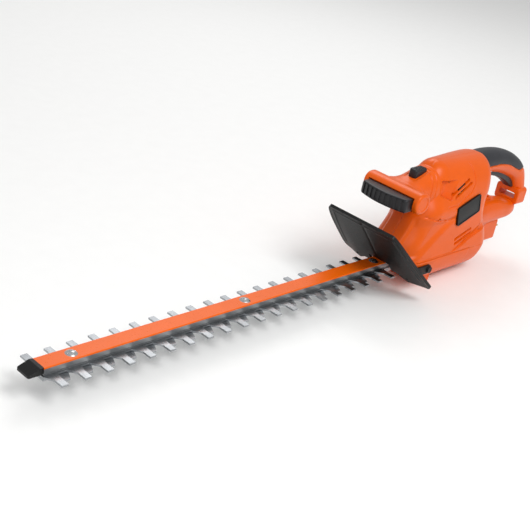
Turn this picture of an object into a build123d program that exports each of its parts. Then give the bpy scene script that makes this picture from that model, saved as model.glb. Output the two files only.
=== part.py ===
from build123d import *
import math
import os

os.makedirs("parts", exist_ok=True)

# Mains hedge trimmer, mm. The origin is on the crank axis, at the flat of the foot. -X runs along
# the blade to its tip, +X to the rear handle, and +Z is up when the trimmer lies on its foot.

# Cutting deck
TOOTH_PITCH = 25.4
TOOTH_COUNT = 20
FIRST_TOOTH_X = -559.7          # middle of the long tooth nearest the tip
BLADE_THICKNESS = 2.0
BLADE_HALF_WIDTH = 10.5
BLADE_REAR_X = 23.0
UPPER_BLADE_Z = 26.0            # underside of each blade
LOWER_BLADE_Z = 23.6
LONG_TOOTH_REACH = 30.0
SHORT_TOOTH_REACH = 20.5
LONG_TIP_WIDTH = 7.3
SHORT_TOOTH_LEAD = 13.4         # the short teeth stand this far behind the long ones
FRONT_TOOTH_LEAD = 3.8          # the long teeth of the near side stand this far behind the far ones
STROKE_REACH = 5.0              # crank eccentricity: each blade travels twice this
REST_REACH = 1.0                # each blade rests this far from its middle position

# Support bar
BAR_FRONT_X = -565.0
BAR_REAR_X = -42.0
BAR_HALF_WIDTH = 9.4
BAR_BOTTOM_Z = 28.2
BAR_TOP_Z = 35.2
COVER_TOP_Z = 36.8
BAR_SCREW_X = (-529.3, -303.0, -78.5)
BAR_SCREW_RADIUS = 2.0
BUSH_RADIUS = 3.2
TIP_FRONT_X = -581.4

# Gear train and crank
GEAR_MODULE = 1.0
GEAR_TEETH = 55
PINION_TEETH = 11
PRESSURE_ANGLE = 25.0
GEAR_Z = 31.0
GEAR_HEIGHT = 8.0
MOTOR_X = GEAR_MODULE * (GEAR_TEETH + PINION_TEETH) / 2
CRANK_PIN_RADIUS = 3.6
GEAR_SHAFT_RADIUS = 4.0
BEARING_RADIUS = 11.0
CASE_BOTTOM_Z = 29.4
CASE_TOP_Z = 51.0
PLATE_Z = 20.6
PLATE_THICKNESS = 2.4
CASE_WIDTH = 65.0
PLATE_WIDTH = 54.0

# Motor
STATOR_RADIUS = 29.5
STATOR_BORE = 19.6
STATOR_Z = 68.0
STATOR_HEIGHT = 36.0
ARMATURE_RADIUS = 19.0
SHAFT_RADIUS = 4.0
SHAFT_TOP_Z = 140.0
COMMUTATOR_Z = 113.0
COMMUTATOR_RADIUS = 10.5
UPPER_BEARING_Z = 131.0

# Housing
WALL = 2.6
BADGE_SIZE = (44.0, 2.4, 24.0)
TOWER_RADIUS = 5.0
SPLIT_Z = 42.0                  # the base cover lies below this level
HOOD_X = -14.0                  # the front handle's moulding meets the housing here
HOOD_Z = 99.0
HULL_SECTIONS = (               # level, front, rear, half width
    (4.0, -20.0, 96.0, 15.0),
    (10.0, -26.0, 114.0, 24.0),
    (20.0, -46.0, 124.0, 33.0),
    (34.0, -58.0, 130.0, 37.6),
    (46.0, -63.0, 130.0, 37.6),
    (62.0, -58.0, 124.0, 35.5),
    (80.0, -46.0, 114.0, 34.5),
    (100.0, -36.0, 108.0, 35.5),
    (122.0, -27.0, 107.0, 36.5),
    (142.0, -18.0, 104.0, 34.0),
    (155.0, -6.0, 97.0, 26.0),
    (162.0, 12.0, 84.0, 12.0),
)
FOOT = (-20.0, 24.0, 25.0)      # front, rear, half width
ARM_PATH = ((92.0, 60.0), (140.0, 66.0), (200.0, 68.0), (222.0, 69.0))
ARM_HALF_WIDTH = 18.5
ARM_HALF_HEIGHT = 17.5
HANDLE_PATH = ((84.0, 144.0), (118.0, 145.5), (150.0, 141.5), (180.0, 132.5), (204.0, 119.0), (218.0, 99.0),
               (220.0, 80.0))
GRIP_SECTIONS = ((18.5, 17.0), (17.5, 17.0), (18.0, 16.5), (17.5, 16.5), (15.0, 16.0), (11.5, 16.0),
                 (11.0, 17.0))
GRIP_THICKNESS = 2.0
RETENTION_SLOT = (24.0, 8.0, 84.0)   # width, height, level
INLET_REAR_X = 181.0
INLET_Z = 40.0
INLET_HALF_WIDTH = 14.0

# Front handle
HANDLE_END_Y = 42.0
BAR_HANDLE_X = -68.0
BAR_HANDLE_Z = 127.5
SWITCH_BAR_HALF = 34.0
SWITCH_BAR_REAR_X = -78.0
SWITCH_BAR_TRAVEL = 5.0
BUTTON_X = -32.0
BUTTON_SIZE = (24.0, 12.0)
BUTTON_TOP_Z = 154.0

# Rear trigger
TRIGGER_PIVOT = (122.0, 134.0)
TRIGGER_HALF_WIDTH = 7.0

# Hand guard
GUARD_FOOT = (-54.0, 24.0)      # the leaning plate's centre line, at its foot and at its top
GUARD_HEAD = (-121.0, 95.5)
GUARD_THICKNESS = 3.6
GUARD_SCREW_X = -16.0
GUARD_SCREW_Z = 31.0


def save(node, *solids):
    """Write one node, made of one solid or of a group of like solids."""
    shape = solids[0] if len(solids) == 1 else Compound(children=list(solids))
    export_step(shape, f"parts/{node}.step")


def block(x0, x1, y0, y1, z0, z1):
    """A plain box between two corners."""
    return Pos((x0 + x1) / 2, (y0 + y1) / 2, (z0 + z1) / 2) * Box(x1 - x0, y1 - y0, z1 - z0)


def post(x, y, z0, z1, radius):
    """An upright cylinder."""
    return Pos(x, y, (z0 + z1) / 2) * Cylinder(radius, z1 - z0)


def rod_y(x, y0, y1, z, radius):
    """A cylinder along Y."""
    return Pos(x, (y0 + y1) / 2, z) * Rot(90, 0, 0) * Cylinder(radius, y1 - y0)


def side_plate(points, half_width):
    """A plate of an outline in X and Z, centred on the middle plane."""
    face = make_face(Polyline(*[(x, 0, z) for x, z in points], close=True))
    return extrude(face, half_width, dir=(0, 1, 0), both=True)


def loft_z(sections, inset):
    """The hull: rounded rectangles stacked along Z and joined by a smooth skin."""
    faces = []
    for level, front, rear, half in sections:
        width = half - inset
        length = rear - front - 2 * inset
        shape = RectangleRounded(length, 2 * width, min(0.78 * width, length / 2 - 1))
        faces.append(Pos((front + rear) / 2, 0, level) * shape)
    return loft(faces)


def tube_y(sections, inset):
    """A bar along Y through ellipses in X and Z: place, centre, half sizes."""
    faces = []
    for y, x, z, half_x, half_z in sections:
        plane = Plane(origin=(x, y, z), x_dir=(1, 0, 0), z_dir=(0, -1, 0))
        faces.append(plane * Ellipse(half_x - inset, half_z - inset))
    return loft(faces)


def swept_tube(path, sections, inset):
    """A tube in the middle plane: ellipses square to the path, joined by a smooth skin."""
    line = Spline(*[(x, 0, z) for x, z in path])
    faces = []
    for index, (half_height, half_width) in enumerate(sections):
        where = index / (len(sections) - 1)
        tangent = line % where
        plane = Plane(origin=line @ where, x_dir=(0, 1, 0), z_dir=tangent)
        faces.append(plane * Ellipse(half_width - inset, half_height - inset))
    return loft(faces)


# ---------------------------------------------------------------- cutting deck

def tooth(x, side, root_half, tip_half, reach, lean):
    """One tooth as a polygon from the strip's middle out to its tip."""
    return Polyline(
        (x - root_half - lean, 0),
        (x - root_half - lean, side * BLADE_HALF_WIDTH),
        (x - tip_half, side * (BLADE_HALF_WIDTH + 8.5)),
        (x - tip_half, side * reach),
        (x + tip_half, side * reach),
        (x + tip_half, side * (BLADE_HALF_WIDTH + 8.5)),
        (x + root_half - lean, side * BLADE_HALF_WIDTH),
        (x + root_half - lean, 0),
        close=True,
    )


def short_tooth(x, side):
    """One tapered cutting tooth."""
    return Polyline(
        (x - 7.6, 0),
        (x - 7.6, side * BLADE_HALF_WIDTH),
        (x - 3.0, side * SHORT_TOOTH_REACH),
        (x + 3.0, side * SHORT_TOOTH_REACH),
        (x + 7.6, side * BLADE_HALF_WIDTH),
        (x + 7.6, 0),
        close=True,
    )


def crank_window(direction):
    """The hole in a blade's rear end that the crank pins turn in, with room for the whole stroke."""
    reach = STROKE_REACH + CRANK_PIN_RADIUS
    travel = STROKE_REACH + REST_REACH
    half_long = reach + travel + 0.6
    half_wide = reach + 0.6
    return Pos(-direction * REST_REACH / 2, 0) * RectangleRounded(2 * half_long, 2 * half_wide, 3)


def blade(outlines, bottom, direction):
    """A toothed strip with screw slots and a yoke around the crank."""
    strip_front = BAR_FRONT_X - 1
    length = BLADE_REAR_X - strip_front
    face = Pos((BLADE_REAR_X + strip_front) / 2, 0) * Rectangle(length, 2 * BLADE_HALF_WIDTH)
    face += Pos(0, 0) * RectangleRounded(50, 34, 6)
    for outline in outlines:
        face += make_face(outline)
    slot_length = 2 * (BUSH_RADIUS + STROKE_REACH + REST_REACH + 1.0)
    for x in BAR_SCREW_X:
        face -= Pos(x, 0) * SlotOverall(slot_length, 2 * BUSH_RADIUS + 0.6)
    face -= crank_window(direction)
    return extrude(Plane.XY.offset(bottom) * face, BLADE_THICKNESS)


def long_teeth():
    """Outlines of the blunt long teeth on both sides."""
    outlines = []
    for index in range(TOOTH_COUNT):
        x = FIRST_TOOTH_X + index * TOOTH_PITCH
        outlines.append(tooth(x, 1, 7.8, LONG_TIP_WIDTH / 2, LONG_TOOTH_REACH, 0.0))
        outlines.append(tooth(x + FRONT_TOOTH_LEAD, -1, 7.8, LONG_TIP_WIDTH / 2, LONG_TOOTH_REACH, 2.4))
    return outlines


def short_teeth():
    """Outlines of the cutting teeth on both sides."""
    outlines = []
    for index in range(TOOTH_COUNT - 1):
        x = FIRST_TOOTH_X + SHORT_TOOTH_LEAD + index * TOOTH_PITCH
        outlines.append(short_tooth(x, 1))
        outlines.append(short_tooth(x, -1))
    return outlines


save("upper_blade", blade(long_teeth(), UPPER_BLADE_Z, 1))
save("lower_blade", blade(short_teeth(), LOWER_BLADE_Z, -1))

# The bar carries the deck, with an orange painted strip on top.
bar_length = BAR_REAR_X - BAR_FRONT_X
bar_middle = (BAR_REAR_X + BAR_FRONT_X) / 2
bar = block(BAR_FRONT_X, BAR_REAR_X, -BAR_HALF_WIDTH, BAR_HALF_WIDTH, BAR_BOTTOM_Z, BAR_TOP_Z)
for side in (-1, 1):
    groove = Pos(bar_middle, side * BAR_HALF_WIDTH, BAR_BOTTOM_Z + 1.6) * Box(bar_length, 1.2, 1.0)
    bar -= groove
cover = block(BAR_FRONT_X, BAR_REAR_X, -BAR_HALF_WIDTH, BAR_HALF_WIDTH, BAR_TOP_Z, COVER_TOP_Z)
cover = chamfer(cover.edges().group_by(Axis.Z)[-1].filter_by(Axis.X), 0.5)
mount_screw_x = (-47.0, -56.5)
for x in BAR_SCREW_X + mount_screw_x:
    hole = post(x, 0, BAR_BOTTOM_Z - 1, COVER_TOP_Z + 1, BAR_SCREW_RADIUS)
    bar -= hole
    cover -= hole
save("blade_bar", bar)
save("bar_cover", cover)


def domed_screw(x, y, top, bottom, head_radius, head_height, radius):
    """A domed screw with a straight slot, standing on the level named top."""
    sphere_radius = (head_radius ** 2 + head_height ** 2) / (2 * head_height)
    dome = Pos(x, y, top + head_height - sphere_radius) * Sphere(sphere_radius)
    head = dome & block(x - 20, x + 20, y - 20, y + 20, top, top + 20)
    head -= block(x - head_radius, x + head_radius, y - 0.7, y + 0.7, top + head_height - 1.2, top + 20)
    return head + post(x, y, bottom, top, radius)


screw_bottom = LOWER_BLADE_Z - 6.0
save("bar_screws", *[domed_screw(x, 0, COVER_TOP_Z, screw_bottom, 6.2, 2.6, BAR_SCREW_RADIUS)
                     for x in BAR_SCREW_X])
bush_bottom = LOWER_BLADE_Z - 0.4
nut = extrude(Plane.XY.offset(screw_bottom + 0.6) * RegularPolygon(4.0, 6), 3.2)
washer = post(0, 0, screw_bottom + 3.8, bush_bottom, 7.0)
nuts = []
washers = []
bushes = []
for x in BAR_SCREW_X:
    hole = post(x, 0, 0, 60, BAR_SCREW_RADIUS)
    nuts.append(Pos(x, 0, 0) * nut - hole)
    washers.append(Pos(x, 0, 0) * washer - hole)
    bushes.append(post(x, 0, bush_bottom, BAR_BOTTOM_Z, BUSH_RADIUS) - hole)
save("bar_nuts", *nuts)
save("blade_washers", *washers)
save("blade_bushes", *bushes)

# The tip protector slopes down in front of the bar and wraps under the blade's end.
tip_profile = ((BAR_FRONT_X, 30.0), (BAR_FRONT_X, 37.0), (-569.0, 37.0), (TIP_FRONT_X, 32.4),
               (TIP_FRONT_X, 30.0))
tip = side_plate(tip_profile, 9.4)
tip = fillet(tip.edges().filter_by(Axis.Z), 2.0)
for y in (-6.0, -2.0, 2.0, 6.0):
    tip -= Pos((TIP_FRONT_X - 569.0) / 2, y, 34.7 + 0.7) * Rot(0, -20.3, 0) * Box(9.0, 1.6, 1.4)
tip += block(-575.0, BAR_FRONT_X, -3.6, 3.6, 28.6, 30.0)
save("tip_protector", tip)

# ---------------------------------------------------------------- gear train


def involute_gear(teeth, module, height, backlash, addendum, dedendum):
    """A spur gear whose flanks are involutes of its base circle."""
    pitch_radius = module * teeth / 2
    angle = math.radians(PRESSURE_ANGLE)
    base_radius = pitch_radius * math.cos(angle)
    tip_radius = pitch_radius + addendum
    root_radius = pitch_radius - dedendum
    pitch_half_angle = (math.pi * module / 2 - backlash) / (2 * pitch_radius)
    start_radius = max(base_radius, root_radius)
    steps = 4

    def half_angle(radius):
        roll = math.acos(min(1.0, base_radius / radius))
        return pitch_half_angle + (math.tan(angle) - angle) - (math.tan(roll) - roll)

    def polar(radius, turn):
        return (radius * math.cos(turn), radius * math.sin(turn))

    radii = [start_radius + (tip_radius - start_radius) * step / steps for step in range(steps + 1)]
    points = []
    for index in range(teeth):
        centre = 2 * math.pi * index / teeth
        points.append(polar(root_radius, centre - half_angle(start_radius) - 0.01))
        points.extend(polar(radius, centre - half_angle(radius)) for radius in radii)
        points.extend(polar(radius, centre + half_angle(radius)) for radius in reversed(radii))
        points.append(polar(root_radius, centre + half_angle(start_radius) + 0.01))
    return extrude(make_face(Polyline(*points, close=True)), height)


gear = involute_gear(GEAR_TEETH, GEAR_MODULE, GEAR_HEIGHT, 0.16, 0.8, 1.1)
gear -= Pos(0, 0, GEAR_HEIGHT) * (Cylinder(23, 4) - Cylinder(9, 4))
gear -= post(0, 0, -1, GEAR_HEIGHT + 1, GEAR_SHAFT_RADIUS)
crank_angle = math.acos(REST_REACH / STROKE_REACH)
pin_places = [(sign * REST_REACH, sign * STROKE_REACH * math.sin(crank_angle)) for sign in (1, -1)]
shaft_top = 49.6
save("drive_gear", Pos(0, 0, GEAR_Z) * gear)
save("gear_shaft", post(0, 0, GEAR_Z + 2.0, shaft_top, GEAR_SHAFT_RADIUS))
crank_plate = post(0, 0, GEAR_Z - 1.2, GEAR_Z, 12.0)
upper_pin = post(*pin_places[0], UPPER_BLADE_Z + 0.1, GEAR_Z - 1.2, CRANK_PIN_RADIUS)
lower_pin = post(*pin_places[1], LOWER_BLADE_Z + 0.1, GEAR_Z - 1.2, CRANK_PIN_RADIUS)
save("double_crank", crank_plate + upper_pin + lower_pin)

pinion = involute_gear(PINION_TEETH, GEAR_MODULE, 9.0, 0.16, 0.8, 1.1)
save("motor_pinion", Pos(MOTOR_X, 0, GEAR_Z + 0.4) * (pinion - Pos(0, 0, 4.5) * Cylinder(2.5, 12)))

# ---------------------------------------------------------------- gear case and its plate

case = Pos(6, 0, (CASE_BOTTOM_Z + CASE_TOP_Z) / 2) * Box(92, CASE_WIDTH, CASE_TOP_Z - CASE_BOTTOM_Z)
case = fillet(case.edges().filter_by(Axis.Z), 14)
case -= post(0, 0, CASE_BOTTOM_Z - 1, 40.4, 29.6)
case -= post(MOTOR_X, 0, CASE_BOTTOM_Z - 1, 41.4, 8.2)
for x in (0, MOTOR_X):
    case -= post(x, 0, 42.6, 49.8 if x == 0 else CASE_TOP_Z + 1, BEARING_RADIUS)
    case -= post(x, 0, 39.0, 43.0, 5.4)
case += block(-61.0, -38.0, -12.0, 12.0, COVER_TOP_Z + 0.2, 43.0)
case -= block(-80.0, BAR_REAR_X + 0.4, -13.0, 13.0, 20.0, COVER_TOP_Z + 0.2)
case_screw_places = [(x, y) for x in (-30.0, 42.0) for y in (-23.0, 23.0)]
for x, y in case_screw_places:
    case -= post(x, y, 20, 60, 2.1)
for x in mount_screw_x:
    case -= post(x, 0, 20, 60, BAR_SCREW_RADIUS)
save("gear_case", case)

plate_top = PLATE_Z + PLATE_THICKNESS
gear_plate = Pos(6, 0, PLATE_Z + PLATE_THICKNESS / 2) * Box(92, PLATE_WIDTH, PLATE_THICKNESS)
gear_plate = fillet(gear_plate.edges().filter_by(Axis.Z), 12)
spacers = []
case_screws = []
for x, y in case_screw_places:
    gear_plate -= post(x, y, 0, 60, 2.1)
    spacers.append(post(x, y, plate_top, CASE_BOTTOM_Z, 4.0) - post(x, y, 0, 60, 2.1))
    case_screws.append(post(x, y, PLATE_Z, CASE_TOP_Z, 2.0) + post(x, y, CASE_TOP_Z, CASE_TOP_Z + 2.4, 3.8))
for y in (-19.0, 19.0):
    gear_plate -= post(-12.0, y, 0, 60, 1.95)
save("gear_plate", gear_plate)
save("case_spacers", *spacers)
save("gear_case_screws", *case_screws)
mount_screws = []
for x in mount_screw_x:
    mount_screws.append(post(x, 0, BAR_BOTTOM_Z, 43.0, 1.9) + post(x, 0, 43.0, 45.6, 3.6))
save("bar_mount_screws", *mount_screws)


def ball_bearing(x, z, outer, bore, height):
    """Two races and a ring of balls, held as one bought-in piece by its cage."""
    middle = (outer + bore) / 2
    ball = (outer - bore) / 2 * 0.62
    race = (outer - bore) * 0.30
    outer_race = Cylinder(outer, height) - Cylinder(outer - race, height)
    inner_race = Cylinder(bore + race, height) - Cylinder(bore, height)
    cage = Cylinder(outer - race, height * 0.35) - Cylinder(bore + race, height * 0.35)
    bearing = outer_race + inner_race + cage
    for index in range(7):
        bearing += Rot(0, 0, 360 / 7 * index) * Pos(middle, 0, 0) * Sphere(ball)
    return Pos(x, 0, z + height / 2) * bearing


running = 0.05
save("gear_bearing", ball_bearing(0, 42.6, BEARING_RADIUS, GEAR_SHAFT_RADIUS + running, 7.0))
save("lower_bearing", ball_bearing(MOTOR_X, 43.2, BEARING_RADIUS, SHAFT_RADIUS + running, 7.0))
save("upper_bearing", ball_bearing(MOTOR_X, UPPER_BEARING_Z, 8.0, 3.0 + running, 5.0))

# ---------------------------------------------------------------- motor

shaft = post(MOTOR_X, 0, 42.0, UPPER_BEARING_Z - 1, SHAFT_RADIUS)
shaft += post(MOTOR_X, 0, GEAR_Z + 0.6, 42.0, 2.5)
shaft += post(MOTOR_X, 0, UPPER_BEARING_Z - 1, SHAFT_TOP_Z, 3.0)
save("armature_shaft", shaft)


def slotted_core(radius, slots, width, depth, height):
    """A lamination stack with closed-in winding slots around it."""
    core = Cylinder(radius, height)
    for index in range(slots):
        turn = Rot(0, 0, 360 / slots * index)
        core -= turn * Pos(radius - depth / 2 - 1.0, 0, 0) * Box(depth, width, height)
        core -= turn * Pos(radius, 0, 0) * Box(4.0, 1.4, height)
    return core


core_middle = STATOR_Z + STATOR_HEIGHT / 2
core = slotted_core(ARMATURE_RADIUS, 12, 3.4, 7.0, STATOR_HEIGHT)
save("armature_core", Pos(MOTOR_X, 0, core_middle) * core - post(MOTOR_X, 0, 40, 130, SHAFT_RADIUS))
windings = []
for z0 in (STATOR_Z - 6.5, STATOR_Z + STATOR_HEIGHT + 0.1):
    ring = Pos(MOTOR_X, 0, z0 + 3.2) * (Cylinder(16.0, 6.4) - Cylinder(6.0, 6.4))
    windings.append(fillet(ring.edges().group_by(Axis.Z)[-1].sort_by(SortBy.LENGTH)[-1:], 1.6))
save("armature_windings", *windings)

commutator = Cylinder(COMMUTATOR_RADIUS, 12) - Cylinder(SHAFT_RADIUS, 12)
for index in range(24):
    commutator -= Rot(0, 0, 15 * index) * Pos(COMMUTATOR_RADIUS, 0, 0) * Box(1.6, 0.5, 12)
save("commutator", Pos(MOTOR_X, 0, COMMUTATOR_Z + 6) * commutator)

fan = Cylinder(27.0, 1.6) + Pos(0, 0, 3.4) * Cylinder(7.0, 6.0)
for index in range(16):
    fan += Rot(0, 0, 22.5 * index) * Pos(17.5, 0, 3.2) * Rot(0, 0, 28) * Box(16.0, 1.2, 5.2)
fan -= Cylinder(SHAFT_RADIUS, 20)
save("cooling_fan", Pos(MOTOR_X, 0, 55.0) * fan)

stator = Cylinder(STATOR_RADIUS, STATOR_HEIGHT) - Cylinder(STATOR_BORE, STATOR_HEIGHT)
pocket = Cylinder(STATOR_RADIUS - 4.0, STATOR_HEIGHT) - Cylinder(STATOR_BORE - 1, STATOR_HEIGHT)
for side in (-1, 1):
    wedge = Pos(side * 20, 0, 0) * Box(40, 20, STATOR_HEIGHT)
    stator -= pocket & wedge
save("stator_core", Pos(MOTOR_X, 0, core_middle) * stator)
coils = []
for side in (-1, 1):
    height = STATOR_HEIGHT + 9
    coil = Cylinder(STATOR_RADIUS - 4.6, height) - Cylinder(STATOR_BORE + 0.4, height)
    coil = coil & (Pos(side * 20, 0, 0) * Box(40, 17, height))
    coils.append(Pos(MOTOR_X, 0, core_middle) * coil)
save("field_coils", *coils)

holders = []
brushes = []
springs = []
brush_z = COMMUTATOR_Z + 6


def coil_spring(radius, wire, length, turns):
    """A compression spring as a wire helix standing on its own end."""
    path = Helix(pitch=(length - wire) / turns, height=length - wire, radius=radius)
    profile = Plane(origin=path @ 0, z_dir=path % 0) * Circle(wire / 2)
    return Pos(0, 0, wire / 2) * sweep(profile, path=path, is_frenet=True)


brush_spring = coil_spring(1.7, 0.5, 6.0, 4)
for side in (-1, 1):
    holder = Box(9.0, 16.0, 10.0) - Box(6.4, 16.0, 7.4)
    holders.append(Pos(MOTOR_X, side * 21.0, brush_z) * holder)
    near, far = sorted((side * 10.8, side * 22.0))
    brushes.append(block(MOTOR_X - 3, MOTOR_X + 3, near, far, brush_z - 3.5, brush_z + 3.5))
    springs.append(Pos(MOTOR_X, side * 22.2, brush_z) * Rot(-90 * side, 0, 0) * brush_spring)
save("brush_holders", *holders)
save("carbon_brushes", *brushes)
save("brush_springs", *springs)

bracket = Pos(MOTOR_X, 0, UPPER_BEARING_Z + 2.5) * Box(52, 44, 6.0)
bracket = fillet(bracket.edges().filter_by(Axis.Z), 8)
bracket += block(MOTOR_X - 7, MOTOR_X + 7, 13.6, 28.4, brush_z + 5.2, UPPER_BEARING_Z + 3)
bracket += block(MOTOR_X - 7, MOTOR_X + 7, -28.4, -13.6, brush_z + 5.2, UPPER_BEARING_Z + 3)
bracket -= post(MOTOR_X, 0, UPPER_BEARING_Z, UPPER_BEARING_Z + 6, 8.0)
bracket -= post(MOTOR_X, 0, 100, UPPER_BEARING_Z + 6, 6.0)
save("bearing_bracket", bracket)

# ---------------------------------------------------------------- front handle


def front_handle_solid(inset):
    """The T handle: a bar across the trimmer with a neck that swells back to the housing."""
    end = HANDLE_END_Y - inset
    bar_sections = (
        (-end, BAR_HANDLE_X, BAR_HANDLE_Z, 13.5, 13.0),
        (-24.0, BAR_HANDLE_X, BAR_HANDLE_Z + 0.5, 13.5, 13.0),
        (0.0, BAR_HANDLE_X, BAR_HANDLE_Z, 13.5, 12.6),
        (24.0, BAR_HANDLE_X, BAR_HANDLE_Z + 0.5, 13.5, 13.0),
        (end, BAR_HANDLE_X, BAR_HANDLE_Z, 13.5, 13.0),
    )
    neck_sections = (
        (-70.0 + inset, 20.0, 118.0, 137.0),
        (-54.0, 24.0, 110.0, 142.0),
        (-34.0, 29.0, 103.0, 147.0),
        (HOOD_X, 33.0, 100.0, 150.0),
    )
    faces = []
    for x, half, low, high in neck_sections:
        plane = Plane(origin=(x, 0, (low + high) / 2), x_dir=(0, 1, 0), z_dir=(1, 0, 0))
        height = high - low - 2 * inset
        faces.append(plane * RectangleRounded(2 * (half - inset), height, height * 0.36))
    return tube_y(bar_sections, inset) + loft(faces)


front_handle = front_handle_solid(0) - front_handle_solid(WALL)
recess_back = SWITCH_BAR_REAR_X + SWITCH_BAR_TRAVEL + 1.0
recess = block(-110.0, recess_back, -SWITCH_BAR_HALF - 0.6, SWITCH_BAR_HALF + 0.6, 115.9, 134.1)
front_handle -= recess
button_long, button_wide = BUTTON_SIZE
front_handle -= Pos(BUTTON_X, 0, 150) * Box(button_long + 0.8, button_wide + 0.8, 30)
save("front_handle", front_handle)

# The black bar switch is bowed forwards, with finger ribs on its face.
bar_face = make_face(
    Polyline((SWITCH_BAR_REAR_X, SWITCH_BAR_HALF), (-90.0, SWITCH_BAR_HALF), (-92.0, SWITCH_BAR_HALF - 2))
    + ThreePointArc((-92.0, SWITCH_BAR_HALF - 2), (-99.0, 0), (-92.0, 2 - SWITCH_BAR_HALF))
    + Polyline((-92.0, 2 - SWITCH_BAR_HALF), (-90.0, -SWITCH_BAR_HALF), (SWITCH_BAR_REAR_X, -SWITCH_BAR_HALF))
    + Line((SWITCH_BAR_REAR_X, -SWITCH_BAR_HALF), (SWITCH_BAR_REAR_X, SWITCH_BAR_HALF))
)
switch_bar = extrude(Plane.XY.offset(116.6) * bar_face, 16.8)
switch_bar = chamfer(switch_bar.edges().group_by(Axis.Z)[-1].sort_by(Axis.X)[:3], 1.2)
for index in range(9):
    y = (index - 4) * 7.0
    switch_bar -= Pos(-99.6 + 7 * (y / 32) ** 2, y, 124) * Box(2.4, 2.6, 11.0)
save("front_switch_bar", switch_bar)
bar_springs = []
return_spring = coil_spring(2.6, 0.6, 12.0, 5)
for side in (-1, 1):
    bar_springs.append(Pos(-77.9, side * 22, 125) * Rot(0, 90, 0) * return_spring)
save("switch_bar_springs", *bar_springs)
front_switch_body = block(-66.0, -50.0, -5.0, 5.0, 118.0, 127.0)
save("front_switch", front_switch_body + block(-68.5, -66.0, -2.0, 2.0, 121.0, 124.0))

button = Pos(BUTTON_X, 0, (BUTTON_TOP_Z + 140) / 2) * Box(button_long, button_wide, BUTTON_TOP_Z - 140)
button = fillet(button.edges().filter_by(Axis.Z), 4)
button = fillet(button.edges().group_by(Axis.Z)[-1], 1.6)
for index in range(3):
    button -= Pos(BUTTON_X - 5 + 5 * index, 0, BUTTON_TOP_Z) * Box(1.4, 9.0, 1.2)
save("lock_off_button", button)
save("button_spring", Pos(BUTTON_X, 0, 131.0) * coil_spring(3.0, 0.6, 9.0, 5))
save("button_seat", block(-44.0, -20.0, -8.0, 8.0, 128.4, 131.0))

# ---------------------------------------------------------------- rear trigger

pivot_x, pivot_z = TRIGGER_PIVOT
trigger_profile = (
    (116.0, 130.0), (116.5, 138.0), (128.0, 138.0), (150.0, 131.0), (176.0, 121.0), (204.0, 106.0),
    (209.0, 99.0), (205.0, 94.0), (194.0, 101.0), (180.0, 109.0), (159.0, 117.5), (139.0, 122.5),
    (121.0, 125.0),
)
trigger = side_plate(trigger_profile, TRIGGER_HALF_WIDTH)
trigger -= rod_y(pivot_x, -20, 20, pivot_z, 2.0)
save("rear_trigger", trigger)
save("trigger_pin", rod_y(pivot_x, -13.0, 13.0, pivot_z, 1.95))
save("trigger_spring", Pos(186.0, 0, 117.2) * coil_spring(3.0, 0.6, 12.0, 5))
main_switch_body = block(137.0, 160.0, -6.5, 6.5, 139.0, 148.0)
save("main_switch", main_switch_body + block(147.0, 153.0, -2.5, 2.5, 134.6, 139.0))

# ---------------------------------------------------------------- housing


def hull_solid(inset):
    """The hull without the arm and handle, drawn in on all sides by the inset."""
    sections = list(HULL_SECTIONS)
    first = sections[0]
    last = sections[-1]
    sections[0] = (first[0] + inset, *first[1:])
    sections[-1] = (last[0] - inset, *last[1:])
    return loft_z(sections, inset)


def body_half(inset, half_space):
    """One half of the casing: hull, lower arm, rear handle's core and inlet boss."""
    arm_sizes = [(ARM_HALF_HEIGHT + 4, ARM_HALF_WIDTH + 6), (ARM_HALF_HEIGHT, ARM_HALF_WIDTH + 1),
                 (ARM_HALF_HEIGHT - 1, ARM_HALF_WIDTH), (ARM_HALF_HEIGHT - 6, ARM_HALF_WIDTH - 5)]
    arm = swept_tube(ARM_PATH, arm_sizes, inset) - block(222.0 - 2 * inset, 240, -30, 30, 0, 120)
    boss_length = INLET_REAR_X - 130 - 2 * inset
    boss = Box(boss_length, 2 * (INLET_HALF_WIDTH - inset), 34 - 2 * inset)
    boss = Pos((INLET_REAR_X + 130) / 2, 0, INLET_Z) * fillet(boss.edges().filter_by(Axis.X), 6)
    pieces = [
        arm,
        swept_tube(HANDLE_PATH, GRIP_SECTIONS, GRIP_THICKNESS + inset),
        boss,
    ]
    solid = hull_solid(inset) & half_space
    for piece in pieces:
        solid += piece & half_space
    return solid


# The soft grip wraps the rear handle's core, and its lower edge sweeps down and up again.
grip_zone = side_plate(((86.0, 170.0), (104.0, 121.0), (112.0, 141.0), (160.0, 143.0), (196.0, 118.0),
                        (204.0, 130.0), (224.0, 126.0), (235.0, 170.0)), 30)
handle_tube = swept_tube(HANDLE_PATH, GRIP_SECTIONS, 0)
soft_grip = (handle_tube & grip_zone) - swept_tube(HANDLE_PATH, GRIP_SECTIONS, GRIP_THICKNESS)
soft_grip -= loft_z(HULL_SECTIONS, 0)
save("soft_grip", soft_grip)

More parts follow.
